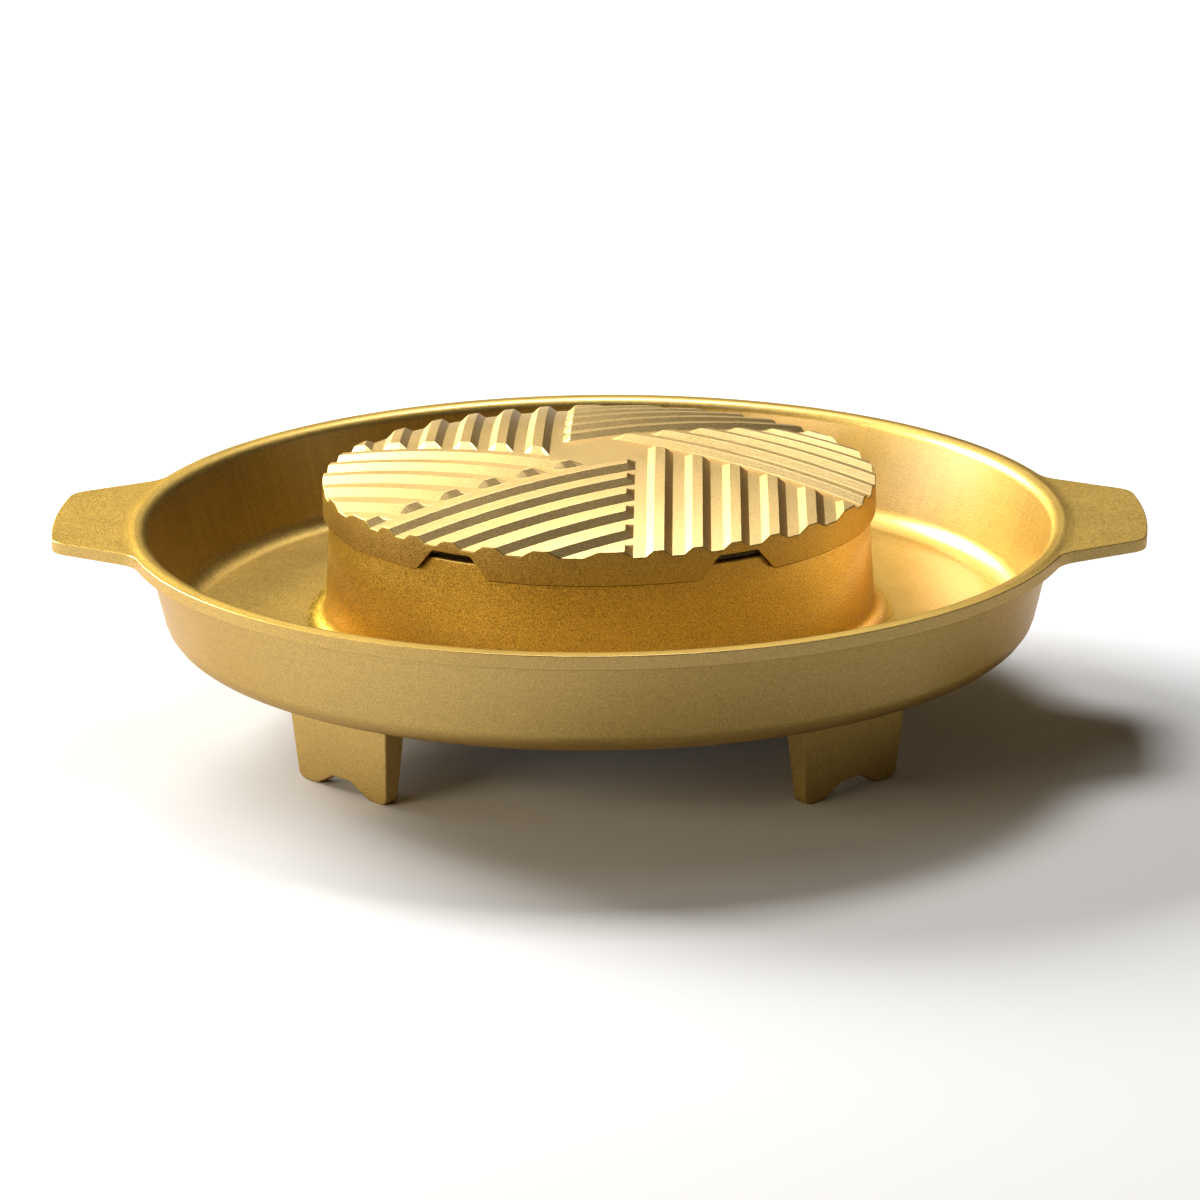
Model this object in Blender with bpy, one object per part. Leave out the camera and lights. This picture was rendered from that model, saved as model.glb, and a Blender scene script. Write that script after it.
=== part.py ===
"""A hot pot grill combo: a ring-shaped cast pan with a raised hub, and a ribbed grill plate that lifts off it.

Metres, +Z up. The origin is the middle of the footprint, on the surface that the four feet stand on.
The handles lie along X, and the front is towards -Y.
"""

import math
from itertools import count, takewhile

import bmesh
import bpy
from mathutils import Matrix, Vector

# Heights of the pan, from the table up
FOOT_LENGTH = 0.0375
FLOOR_THICKNESS = 0.0037
PAN_DEPTH = 0.0383

# Rim and outer wall
RIM_RADIUS = 0.1800
RIM_THICKNESS = 0.0053
RIM_OVERHANG = 0.0074
RIM_FALL = 0.0006
RIM_EDGE_ROUNDING = 0.0006
RIM_ROOT_ROUNDING = 0.0012
SHOULDER_ROUNDING = 0.0050
WALL_FOOT_THICKNESS = 0.0039
WALL_HEAD_THICKNESS = 0.0015
WALL_LEAN = math.radians(12.8)
WALL_FOOT_ROUNDING = 0.0105
MOAT_CORNER_ROUNDING = 0.0090

# Hub in the middle, open from below
HUB_TOP_RADIUS = 0.1023
HUB_RISE = 0.0079
HUB_WALL = 0.0036
HUB_DRAFT = math.radians(3.5)
HUB_LIP_ROUNDING = 0.0010
HUB_FOOT_ROUNDING = 0.0060
COLLAR_DROP = 0.0045
COLLAR_ROUNDING = 0.0010

# Handles: flat tabs that carry the rim on outwards
HANDLE_REACH = 0.0276
HANDLE_TIP_WIDTH = 0.0652
HANDLE_SIDE_LEAN = math.radians(29.5)
HANDLE_TIP_ROUNDING = 0.0095
HANDLE_ROOT_ROUNDING = 0.0160
HANDLE_SET_IN = 0.0002
HANDLE_EDGE_ROUNDING = 0.0005
HANDLE_ROOT_DEPTH = 0.0040

# Feet: drafted plates square to the radius, each with a gap for an arm of the stove's pan support
FOOT_COUNT = 4
FOOT_FIRST_AZIMUTH = math.radians(45.0)
FOOT_CIRCLE_RADIUS = 0.1293
FOOT_TOP_WIDTH = 0.0552
FOOT_TOE_WIDTH = 0.0488
FOOT_TOE_THICKNESS = 0.0056
FOOT_DRAFT = math.radians(4.0)
FOOT_TOE_ROUNDING = 0.0036
FOOT_GAP_MOUTH_WIDTH = 0.0286
FOOT_GAP_ROOF_WIDTH = 0.0100
FOOT_GAP_HEIGHT = 0.0050
FOOT_GAP_ROUNDING = 0.0025

# Grill plate: a dome with a short skirt that drops round the hub
SKIRT_LAP = 0.0055
SKIRT_WALL = 0.0018
SKIRT_CLEARANCE = 0.0005
SKIRT_EDGE_ROUNDING = 0.0005
SEAT_GAP = 0.0003
SEAT_MARGIN = 0.0030
PLATE_THICKNESS = 0.0048
DOME_RISE = 0.0117

# Vents in the skirt, which let the burner's hot gas out over the hub
VENT_AZIMUTH = math.radians(30.0)
VENT_HEIGHT = 0.0029
VENT_MOUTH_WIDTH = 0.0312
VENT_ROOF_WIDTH = 0.0162
VENT_ROUNDING = 0.0020
VENT_FOOT = 0.0002

# Ribs: straight in plan, in sectors that turn round the middle like a pinwheel
SECTOR_COUNT = 6
MIDDLE_APOTHEM = 0.0142
RIB_VALLEY = 0.0044
RIB_FLANK = 0.0029
RIB_CREST = 0.0038
RIB_HEIGHT = 0.0023
RIB_ROOT_DEPTH = 0.0008
RIB_STATION = 0.0120

# Fineness of the round shapes, and how far a cut runs past what it cuts
TURN_STEPS = 72
DOME_TURN_STEPS = 48
DOME_RING_STEP = 0.0175
ARC_TOLERANCE = 0.00012
CUT_OVERRUN = 0.0020
WELD_DISTANCE = 0.000001
SMOOTH_ANGLE = math.radians(30.0)

# Heights and radii that follow
FLOOR_UNDERSIDE = FOOT_LENGTH
FLOOR_TOP = FLOOR_UNDERSIDE + FLOOR_THICKNESS
RIM_TOP = FLOOR_TOP + PAN_DEPTH
RIM_UNDERSIDE = RIM_TOP - RIM_THICKNESS
COLLAR_BOTTOM = FLOOR_UNDERSIDE - COLLAR_DROP
HUB_TOP = RIM_TOP + HUB_RISE
SKIRT_BOTTOM = HUB_TOP - SKIRT_LAP
SEAT = HUB_TOP + SEAT_GAP
PLATE_EDGE = SEAT + PLATE_THICKNESS
DOME_TOP = PLATE_EDGE + DOME_RISE
SKIRT_INNER_RADIUS = HUB_TOP_RADIUS + SKIRT_LAP * math.tan(HUB_DRAFT) + SKIRT_CLEARANCE
PLATE_RADIUS = SKIRT_INNER_RADIUS + SKIRT_WALL
SEAT_INNER_RADIUS = HUB_TOP_RADIUS - HUB_WALL - SEAT_MARGIN
RIB_PITCH = RIB_VALLEY + RIB_CREST + 2 * RIB_FLANK
SECTOR_ANGLE = 2 * math.pi / SECTOR_COUNT


def wall_outer_radius(height):
    """Radius of the leaning wall's outer face at a height."""
    return RIM_RADIUS - RIM_OVERHANG - (RIM_UNDERSIDE - height) * math.tan(WALL_LEAN)


def wall_inner_radius(height):
    """Radius of the wall's inner face, which leans a little more, so that the wall thins towards the rim."""
    share = (height - FLOOR_TOP) / (RIM_TOP - FLOOR_TOP)
    thickness = WALL_FOOT_THICKNESS + share * (WALL_HEAD_THICKNESS - WALL_FOOT_THICKNESS)
    return wall_outer_radius(height) - thickness / math.cos(WALL_LEAN)


def hub_outer_radius(height):
    """Radius of the drafted hub's outer face at a height."""
    return HUB_TOP_RADIUS + (HUB_TOP - height) * math.tan(HUB_DRAFT)


def hub_inner_radius(height):
    return hub_outer_radius(height) - HUB_WALL


def dome_height(radius):
    """Height of the plate's upper face, a shallow part of a sphere, between the ribs."""
    ball = (PLATE_RADIUS**2 + DOME_RISE**2) / (2 * DOME_RISE)
    return DOME_TOP - ball + math.sqrt(ball**2 - radius**2)


# Outlines


def arc(centre, start, turn):
    """Points of an arc about a centre, from the offset start, through an angle."""
    radius = start.length
    widest = 2 * math.acos(1 - min(ARC_TOLERANCE / radius, 0.5))
    steps = max(2, math.ceil(abs(turn) / widest))
    return [centre + Matrix.Rotation(turn * i / steps, 2) @ start for i in range(steps + 1)]


def turn_between(start, end):
    """Signed angle from one plane vector to another."""
    return math.atan2(start.x * end.y - start.y * end.x, start.dot(end))


def rounded(corners):
    """Closed outline through corners (x, y, rounding), each with an arc of its own radius."""
    points = []
    for i, (x, y, rounding) in enumerate(corners):
        here = Vector((x, y))
        if rounding == 0:
            points.append(here)
            continue
        before = (Vector(corners[i - 1][:2]) - here).normalized()
        after = (Vector(corners[(i + 1) % len(corners)][:2]) - here).normalized()
        half = before.angle(after) / 2
        centre = here + (before + after).normalized() * rounding / math.sin(half)
        start = here + before * rounding / math.tan(half) - centre
        end = here + after * rounding / math.tan(half) - centre
        points += arc(centre, start, turn_between(start, end))
    return points


def mirrored(corners):
    """Corners on the right, top to bottom, with their mirror images on the left."""
    return corners + [(-x, y, rounding) for x, y, rounding in reversed(corners)]


# Solids


def object_from(name, bm):
    """An object made from a closed bmesh, which this frees."""
    bmesh.ops.remove_doubles(bm, verts=bm.verts, dist=WELD_DISTANCE)
    bmesh.ops.recalc_face_normals(bm, faces=bm.faces)
    mesh = bpy.data.meshes.new(name)
    bm.to_mesh(mesh)
    bm.free()
    body = bpy.data.objects.new(name, mesh)
    bpy.context.scene.collection.objects.link(body)
    return body


def turned(name, outline, steps):
    """A closed outline of (radius, height) turned once about Z."""
    bm = bmesh.new()
    corners = [bm.verts.new((point.x, 0, point.y)) for point in outline]
    ring = [bm.edges.new((corners[i - 1], corners[i])) for i in range(len(corners))]
    bmesh.ops.spin(
        bm, geom=corners + ring, cent=(0, 0, 0), axis=(0, 0, 1), angle=2 * math.pi, steps=steps, use_merge=True
    )
    bmesh.ops.remove_doubles(bm, verts=bm.verts, dist=WELD_DISTANCE)
    bmesh.ops.dissolve_degenerate(bm, dist=WELD_DISTANCE, edges=bm.edges)
    return object_from(name, bm)


def add_slab(bm, outline, low, high, placed):
    """Adds a plane outline, thickened along Z from low to high and then moved by a matrix."""
    corners = [bm.verts.new((point.x, point.y, low)) for point in outline]
    face = bm.faces.new(corners)
    raised = bmesh.ops.extrude_face_region(bm, geom=[face], use_keep_orig=True)["geom"]
    top = [part for part in raised if isinstance(part, bmesh.types.BMVert)]
    bmesh.ops.translate(bm, verts=top, vec=(0, 0, high - low))
    bmesh.ops.transform(bm, matrix=placed, verts=corners + top)
    return corners, top


def apply_modifiers(body):
    """Keeps the mesh as its modifiers leave it."""
    graph = bpy.context.evaluated_depsgraph_get()
    plain = body.data
    body.data = bpy.data.meshes.new_from_object(body.evaluated_get(graph))
    body.modifiers.clear()
    bpy.data.meshes.remove(plain)


def combine(body, tool, operation):
    """Joins, cuts or trims a body with a tool, which is then removed."""
    modifier = body.modifiers.new(operation, "BOOLEAN")
    modifier.operation = operation
    modifier.solver = "EXACT"
    modifier.object = tool
    apply_modifiers(body)
    bpy.data.objects.remove(tool)


def finish(body, material, height):
    """Sets the piece's origin on the Z axis at a height, its shading and its material."""
    body.data.transform(Matrix.Translation((0, 0, -height)))
    body.location.z = height
    body.data.materials.clear()
    body.data.materials.append(material)
    body.data.shade_smooth()
    body.data.set_sharp_from_angle(angle=SMOOTH_ANGLE)


def coated_aluminium(name, colour, roughness):
    """A gold-coloured non-stick coat on cast aluminium."""
    material = bpy.data.materials.new(name)
    material.use_nodes = True
    shader = material.node_tree.nodes["Principled BSDF"]
    shader.inputs["Base Color"].default_value = (*colour, 1)
    shader.inputs["Metallic"].default_value = 1
    shader.inputs["Roughness"].default_value = roughness
    return material


# The pan


def pan_outline():
    """Half section of the pan: the hub, the moat's floor, the leaning wall, the rim and the hub's collar below."""
    return rounded(
        [
            (hub_inner_radius(HUB_TOP), HUB_TOP, HUB_LIP_ROUNDING),
            (hub_outer_radius(HUB_TOP), HUB_TOP, HUB_LIP_ROUNDING),
            (hub_outer_radius(FLOOR_TOP), FLOOR_TOP, HUB_FOOT_ROUNDING),
            (wall_inner_radius(FLOOR_TOP), FLOOR_TOP, MOAT_CORNER_ROUNDING),
            (wall_inner_radius(RIM_TOP), RIM_TOP, SHOULDER_ROUNDING),
            (RIM_RADIUS, RIM_TOP - RIM_FALL, RIM_EDGE_ROUNDING),
            (RIM_RADIUS, RIM_UNDERSIDE, RIM_EDGE_ROUNDING),
            (wall_outer_radius(RIM_UNDERSIDE), RIM_UNDERSIDE, RIM_ROOT_ROUNDING),
            (wall_outer_radius(FLOOR_UNDERSIDE), FLOOR_UNDERSIDE, WALL_FOOT_ROUNDING),
            (hub_outer_radius(FLOOR_UNDERSIDE), FLOOR_UNDERSIDE, COLLAR_ROUNDING),
            (hub_outer_radius(FLOOR_UNDERSIDE), COLLAR_BOTTOM, COLLAR_ROUNDING),
            (hub_inner_radius(COLLAR_BOTTOM), COLLAR_BOTTOM, COLLAR_ROUNDING),
        ]
    )


def handle_outline():
    """Plan of one tab along +X: it flares into the rim's circle and ends in an arc about the pan's axis."""
    tip_radius = RIM_RADIUS + HANDLE_REACH
    across = Vector((math.sin(HANDLE_SIDE_LEAN), math.cos(HANDLE_SIDE_LEAN)))
    side = across.dot(Vector((tip_radius, HANDLE_TIP_WIDTH / 2)))
    lean = math.atan2(across.y, across.x)

    root_reach = RIM_RADIUS + HANDLE_ROOT_ROUNDING
    root_azimuth = lean - math.acos((side + HANDLE_ROOT_ROUNDING) / root_reach)
    root_way = Vector((math.cos(root_azimuth), math.sin(root_azimuth)))
    root_start = -HANDLE_ROOT_ROUNDING * root_way
    root_end = -HANDLE_ROOT_ROUNDING * across
    flare = arc(root_reach * root_way, root_start, turn_between(root_start, root_end))

    tip_reach = tip_radius - HANDLE_TIP_ROUNDING
    tip_azimuth = lean - math.acos((side - HANDLE_TIP_ROUNDING) / tip_reach)
    tip_way = Vector((math.cos(tip_azimuth), math.sin(tip_azimuth)))
    tip_start = HANDLE_TIP_ROUNDING * across
    tip_end = HANDLE_TIP_ROUNDING * tip_way
    corner = arc(tip_reach * tip_way, tip_start, turn_between(tip_start, tip_end))

    inside = (RIM_RADIUS - HANDLE_ROOT_DEPTH) * root_way
    half = [inside] + flare + corner
    tip = arc(Vector((0, 0)), tip_radius * tip_way, -2 * tip_azimuth)
    other_half = [Vector((point.x, -point.y)) for point in reversed(half)]
    return half + tip[1:-1] + other_half


def add_handle(bm, azimuth):
    """A flat tab as thick as the rim, set in a little from its upper and lower edges."""
    low = RIM_UNDERSIDE + HANDLE_SET_IN
    high = RIM_TOP - RIM_FALL - HANDLE_SET_IN
    corners, top = add_slab(bm, handle_outline(), low, high, Matrix.Rotation(azimuth, 4, "Z"))
    ends = set(corners), set(top)
    edges = [edge for edge in bm.edges if any(set(edge.verts) <= end for end in ends)]
    bmesh.ops.bevel(bm, geom=edges, offset=HANDLE_EDGE_ROUNDING, segments=2, profile=0.5, affect="EDGES")


def foot_outline():
    """Front view of one foot: a plate with two toes, narrower towards the table."""
    top = FLOOR_UNDERSIDE + FLOOR_THICKNESS / 2
    return rounded(
        mirrored(
            [
                (FOOT_TOP_WIDTH / 2, top, 0),
                (FOOT_TOE_WIDTH / 2, 0, FOOT_TOE_ROUNDING),
                (FOOT_GAP_MOUTH_WIDTH / 2, 0, FOOT_GAP_ROUNDING),
                (FOOT_GAP_ROOF_WIDTH / 2, FOOT_GAP_HEIGHT, FOOT_GAP_ROUNDING),
            ]
        )
    )


def add_foot(bm, azimuth):
    """A foot whose two broad faces lean apart towards the pan, as a casting must to leave its mould."""
    half = FOOT_TOE_THICKNESS / 2
    upright = Matrix.Rotation(math.pi / 2, 4, "X")
    corners, top = add_slab(bm, foot_outline(), -half, half, upright)
    for vert in corners + top:
        vert.co.y += math.copysign(vert.co.z * math.tan(FOOT_DRAFT), vert.co.y)
    placed = Matrix.Rotation(azimuth, 4, "Z") @ Matrix.Translation((0, -FOOT_CIRCLE_RADIUS, 0))
    bmesh.ops.transform(bm, matrix=placed, verts=corners + top)


def make_pan():
    """The whole casting: the turned body with its two handles and four feet."""
    pan = turned("pan", pan_outline(), TURN_STEPS)
    bm = bmesh.new()
    for azimuth in (0, math.pi):
        add_handle(bm, azimuth)
    for i in range(FOOT_COUNT):
        add_foot(bm, FOOT_FIRST_AZIMUTH + 2 * math.pi * i / FOOT_COUNT)
    combine(pan, object_from("handles_and_feet", bm), "UNION")
    finish(pan, coated_aluminium("pan_gold_coat", (0.50, 0.32, 0.10), 0.48), 0)
    return pan


# The grill plate


def plate_blank():
    """A solid disc, larger than the plate all round, with the dome on top."""
    edge = PLATE_RADIUS + CUT_OVERRUN
    rings = math.ceil(edge / DOME_RING_STEP)
    radii = [edge * i / rings for i in range(rings + 1)]
    under = SKIRT_BOTTOM - CUT_OVERRUN
    outline = [Vector((radius, dome_height(radius))) for radius in radii]
    outline += [Vector((edge, under)), Vector((0, under))]
    return turned("grill_plate", outline, DOME_TURN_STEPS)


def plate_envelope():
    """The space that the plate may fill: its skirt's cylinder outside, its seat and hollow below."""
    over = DOME_TOP + RIB_HEIGHT + CUT_OVERRUN
    hollow_radius = SEAT_INNER_RADIUS - SEAT_MARGIN / 2
    below = rounded(
        [
            (PLATE_RADIUS, over, 0),
            (PLATE_RADIUS, SKIRT_BOTTOM, SKIRT_EDGE_ROUNDING),
            (SKIRT_INNER_RADIUS, SKIRT_BOTTOM, SKIRT_EDGE_ROUNDING),
            (SKIRT_INNER_RADIUS, SEAT, 0),
            (SEAT_INNER_RADIUS, SEAT, 0),
        ]
    )
    rings = math.ceil(hollow_radius / DOME_RING_STEP)
    radii = [hollow_radius * (rings - i) / rings for i in range(rings + 1)]
    hollow = [Vector((radius, dome_height(radius) - PLATE_THICKNESS)) for radius in radii]
    return turned("plate_envelope", below + hollow + [Vector((0, over))], TURN_STEPS)


def rib_near_side(index):
    """Distance from the middle to the nearer foot of a rib, counted outwards from its sector's line."""
    return MIDDLE_APOTHEM + RIB_VALLEY + RIB_PITCH * index


def next_sector_line(across):
    """Where the next sector's line crosses a rib of the first sector."""
    return (MIDDLE_APOTHEM - across * math.cos(SECTOR_ANGLE)) / math.sin(SECTOR_ANGLE)


def rib_starts_on_plate(index):
    near = rib_near_side(index)
    return math.hypot(near, next_sector_line(near)) < PLATE_RADIUS


def rib_point(across, along, rise):
    """A point of the first sector: across from the middle, along from the next sector's line, above the dome."""
    y = next_sector_line(across) - along
    reach = min(math.hypot(across, y), PLATE_RADIUS + 2 * CUT_OVERRUN)
    return Vector((across, y, dome_height(reach) + rise))


def add_rib(bm, index, turn):
    """One rib: a ridge of trapezoid section with a sloping inner end, sunk a little into the dome."""
    spread = RIB_ROOT_DEPTH * RIB_FLANK / RIB_HEIGHT
    near = rib_near_side(index)
    far = near + 2 * RIB_FLANK + RIB_CREST
    crest_start = RIB_FLANK / math.sin(SECTOR_ANGLE)
    root_start = -spread / math.sin(SECTOR_ANGLE)
    sides = (near - spread, near + RIB_FLANK, far - RIB_FLANK, far + spread)
    rises = (-RIB_ROOT_DEPTH, RIB_HEIGHT, RIB_HEIGHT, -RIB_ROOT_DEPTH)

    outer_end = -math.sqrt(PLATE_RADIUS**2 - sides[0] ** 2)
    length = rib_point(sides[0], 0, 0).y - outer_end + CUT_OVERRUN
    steps = math.ceil(length / RIB_STATION)
    stations = [crest_start + (length - crest_start) * i / steps for i in range(steps + 1)]
    placed = Matrix.Rotation(turn, 4, "Z")

    def row(along):
        return [bm.verts.new(placed @ rib_point(side, along, rise)) for side, rise in zip(sides, rises)]

    toe = [bm.verts.new(placed @ rib_point(sides[i], root_start, -RIB_ROOT_DEPTH)) for i in (0, 3)]
    rows = [row(along) for along in stations]
    first = rows[0]
    bm.faces.new((toe[0], first[0], first[1]))
    bm.faces.new((toe[0], first[1], first[2], toe[1]))
    bm.faces.new((toe[1], first[2], first[3]))
    bm.faces.new((toe[0], toe[1], first[3], first[0]))
    for here, there in zip(rows, rows[1:]):
        for i in range(4):
            bm.faces.new((here[i - 1], there[i - 1], there[i], here[i]))
    bm.faces.new(rows[-1])


def vent_outline():
    """Front view of one vent: a trapezoid, open at the skirt's lower edge."""
    mouth = SKIRT_BOTTOM - VENT_FOOT
    below = mouth - CUT_OVERRUN
    right = [
        (VENT_ROOF_WIDTH / 2, HUB_TOP + VENT_HEIGHT, VENT_ROUNDING),
        (VENT_MOUTH_WIDTH / 2, mouth, VENT_ROUNDING),
        (VENT_MOUTH_WIDTH / 2 + 2 * VENT_ROUNDING, mouth, 0),
        (VENT_MOUTH_WIDTH / 2 + 2 * VENT_ROUNDING, below, 0),
    ]
    return rounded(mirrored(right))


def add_vent(bm, azimuth):
    """A cutter that runs out through the seat and the skirt."""
    upright = Matrix.Rotation(math.pi / 2, 4, "X")
    placed = Matrix.Rotation(azimuth, 4, "Z") @ upright
    inner = SEAT_INNER_RADIUS - SEAT_MARGIN - CUT_OVERRUN
    add_slab(bm, vent_outline(), inner, PLATE_RADIUS + CUT_OVERRUN, placed)


def make_grill_plate():
    """The dome with its ribs, trimmed to a round plate with a skirt, and cut through by the vents."""
    plate = plate_blank()
    ribs = bmesh.new()
    for sector in range(SECTOR_COUNT):
        for index in takewhile(rib_starts_on_plate, count()):
            add_rib(ribs, index, sector * SECTOR_ANGLE)
    combine(plate, object_from("ribs", ribs), "UNION")
    combine(plate, plate_envelope(), "INTERSECT")
    vents = bmesh.new()
    for azimuth in (VENT_AZIMUTH, -VENT_AZIMUTH, math.pi - VENT_AZIMUTH, math.pi + VENT_AZIMUTH):
        add_vent(vents, azimuth)
    combine(plate, object_from("vents", vents), "DIFFERENCE")
    finish(plate, coated_aluminium("grill_plate_gold_coat", (0.52, 0.34, 0.11), 0.48), SEAT)
    return plate


for old in list(bpy.data.objects):
    bpy.data.objects.remove(old)
make_pan()
make_grill_plate()
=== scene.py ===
# %% [markdown]
# # A hot pot grill pan in satin gold
#
# The real thing is two aluminium castings: a round pan with a hub in the middle of its trough, and a
# ribbed grill plate that sits loose on the hub. Both wear the same satin coat, gold in colour, with a
# fine metal grain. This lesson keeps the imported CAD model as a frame, builds each casting again as a fine
# mesh with every edge rounded as a foundry would leave it, and then spends its effort on the coat and on
# the light.

import math

import bmesh
import bpy
from mathutils import Matrix, Vector


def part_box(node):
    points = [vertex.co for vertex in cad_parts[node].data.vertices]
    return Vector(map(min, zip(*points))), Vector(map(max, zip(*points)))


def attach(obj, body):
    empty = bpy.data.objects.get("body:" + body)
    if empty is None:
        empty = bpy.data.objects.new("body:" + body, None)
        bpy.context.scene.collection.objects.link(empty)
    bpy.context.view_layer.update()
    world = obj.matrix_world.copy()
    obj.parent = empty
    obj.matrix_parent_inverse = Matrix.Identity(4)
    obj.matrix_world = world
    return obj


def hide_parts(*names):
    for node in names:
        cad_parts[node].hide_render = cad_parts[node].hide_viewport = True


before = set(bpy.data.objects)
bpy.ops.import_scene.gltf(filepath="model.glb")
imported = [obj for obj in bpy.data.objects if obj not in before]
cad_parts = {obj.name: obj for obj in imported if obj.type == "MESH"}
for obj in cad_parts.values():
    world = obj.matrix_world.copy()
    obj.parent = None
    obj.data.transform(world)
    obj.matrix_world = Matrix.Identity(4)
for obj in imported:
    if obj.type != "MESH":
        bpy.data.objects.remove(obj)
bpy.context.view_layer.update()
_, pan_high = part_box("pan")
plate_low, plate_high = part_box("grill_plate")
print("frame nodes:", sorted(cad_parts))

# %% [markdown]
# ## The camera comes first
#
# A long lens, nearly two metres away and about 17 degrees above the horizon, is what the photograph was
# taken with: the far rim looks almost as wide as the near one. The pan stands a degree round from square,
# so the camera's rig is turned by that much instead of the pan, which has to stay on its frame. A camera
# could also be aimed with a Track To constraint, but the small roll of the picture is easier to say in a
# matrix.

# %% Sizes that the camera and the castings share
RIM_RADIUS = pan_high.y
HUB_TOP = pan_high.z
HUB_RISE = 0.0079
RIM_TOP = HUB_TOP - HUB_RISE

CAMERA_DISTANCE = 1.9128
CAMERA_ELEVATION = math.radians(16.934)
CAMERA_ROLL = math.radians(-0.4765)
CAMERA_YAW = math.radians(1.15)
AIM_BELOW_RIM = 0.0344
LENS = 150.0
SENSOR = 36.0
print("the rim's top is", round(1000 * RIM_TOP, 1), "mm above the floor")


# %% Place the camera
def camera_matrix(aim):
    """World matrix of a camera that looks at aim from the front, with the yaw and the roll above."""
    level = math.cos(CAMERA_ELEVATION)
    back = Vector((math.sin(CAMERA_YAW) * level, -math.cos(CAMERA_YAW) * level, math.sin(CAMERA_ELEVATION)))
    right = Vector((0, 0, 1)).cross(back).normalized()
    up = back.cross(right)
    tipped = math.cos(CAMERA_ROLL) * right + math.sin(CAMERA_ROLL) * up
    matrix = Matrix((tipped, back.cross(tipped), back)).transposed().to_4x4()
    matrix.translation = aim + CAMERA_DISTANCE * back
    return matrix


camera_data = bpy.data.cameras.new("camera")
camera_data.lens = LENS
camera_data.sensor_width = SENSOR
camera = bpy.data.objects.new("camera", camera_data)
bpy.context.scene.collection.objects.link(camera)
camera.matrix_world = camera_matrix(Vector((0, 0, RIM_TOP - AIM_BELOW_RIM)))
bpy.context.scene.camera = camera
print("camera stands at", tuple(round(c, 3) for c in camera.matrix_world.translation))

# %% [markdown]
# ## Round corners without a bevel tool
#
# A casting has no sharp edge anywhere, and satin metal shows each round edge as a thin line of light.
# Blender's Bevel modifier could round them afterwards, but it stumbles where many short edges meet, as
# they do on the ribs. Here each outline gets its arcs before it becomes a mesh, always with the same
# number of points, so that one section joins the next with plain quads.

# %% Arcs and rounded outlines
ARC_STEPS = 5


def turn_between(start, end):
    """Signed angle that turns start into end."""
    return math.atan2(start.x * end.y - start.y * end.x, start.dot(end))


def rounded_corner(before, here, after, rounding):
    """The arc that replaces a corner of an outline: ARC_STEPS + 1 points."""
    to_before = (before - here).normalized()
    to_after = (after - here).normalized()
    half = to_before.angle(to_after) / 2
    centre = here + (to_before + to_after).normalized() * rounding / math.sin(half)
    start = here + to_before * rounding / math.tan(half) - centre
    end = here + to_after * rounding / math.tan(half) - centre
    turn = turn_between(start, end)
    return [centre + Matrix.Rotation(turn * i / ARC_STEPS, 2) @ start for i in range(ARC_STEPS + 1)]


def rounded(corners):
    """Closed outline through corners (x, y, rounding). A corner without rounding stays one point."""
    points = []
    for i, (x, y, rounding) in enumerate(corners):
        here = Vector((x, y))
        before = Vector(corners[i - 1][:2])
        after = Vector(corners[(i + 1) % len(corners)][:2])
        points += rounded_corner(before, here, after, rounding) if rounding else [here]
    return points


square = [(0, 0, 0.1), (1, 0, 0.1), (1, 1, 0.1), (0, 1, 0.1)]
print("a square with round corners has", len(rounded(square)), "points")


# %% A ramp with round ends
class Ramp:
    """A height that rises over a run, with an arc at its foot and another at its top."""

    def __init__(self, run, rise, rounding):
        self.run = run
        self.rise = rise
        self.rounding = rounding
        self.slope = math.atan2(rise, run)
        self.tangent = rounding * math.tan(self.slope / 2)
        self.arc_width = rounding * math.sin(self.slope)

    def drop(self, distance):
        """How far an arc has left its tangent, at a distance along it."""
        return self.rounding - math.sqrt(max(self.rounding**2 - distance**2, 0))

    def height(self, x):
        """Height at x, which is 0 at the foot's corner and run at the top's."""
        if x <= -self.tangent:
            return 0.0
        if x >= self.run + self.tangent:
            return self.rise
        if x < self.arc_width - self.tangent:
            return self.drop(x + self.tangent)
        if x > self.run + self.tangent - self.arc_width:
            return self.rise - self.drop(self.run + self.tangent - x)
        return x * self.rise / self.run

    def stops(self):
        """Where the arcs start, bend and end."""
        bends = [self.rounding * math.sin(self.slope * i / ARC_STEPS) for i in range(ARC_STEPS + 1)]
        foot = [bend - self.tangent for bend in bends]
        top = [self.run + self.tangent - bend for bend in reversed(bends)]
        return foot + top


print("a ramp of 3 by 2 mm bends at", [round(1000 * x, 2) for x in Ramp(0.003, 0.002, 0.0005).stops()])

# %% [markdown]
# ## Skinning a ring of sections
#
# Both castings are round, but neither is a plain lathe shape: the rim swells into handles, and the
# plate's skirt is cut by vents. So each is a ring of sections, one for each azimuth, and the section may
# differ from one azimuth to the next. A Screw modifier would be shorter, but it can turn only one fixed
# profile.

# %% Skin the sections
WELD_DISTANCE = 0.000001
FLAT_WEIGHT = 50


def skin(bm, sections, around=True):
    """Quads between neighbouring sections of vertices; around closes every section on itself."""
    for here, there in zip(sections, sections[1:] + sections[:1]):
        pairs = zip(here, here[1:] + here[:1] if around else here[1:])
        others = there[1:] + there[:1] if around else there[1:]
        for (a, b), c, d in zip(pairs, others, there):
            if len({a, b, c, d}) == 4:
                bm.faces.new((a, b, c, d))


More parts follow.
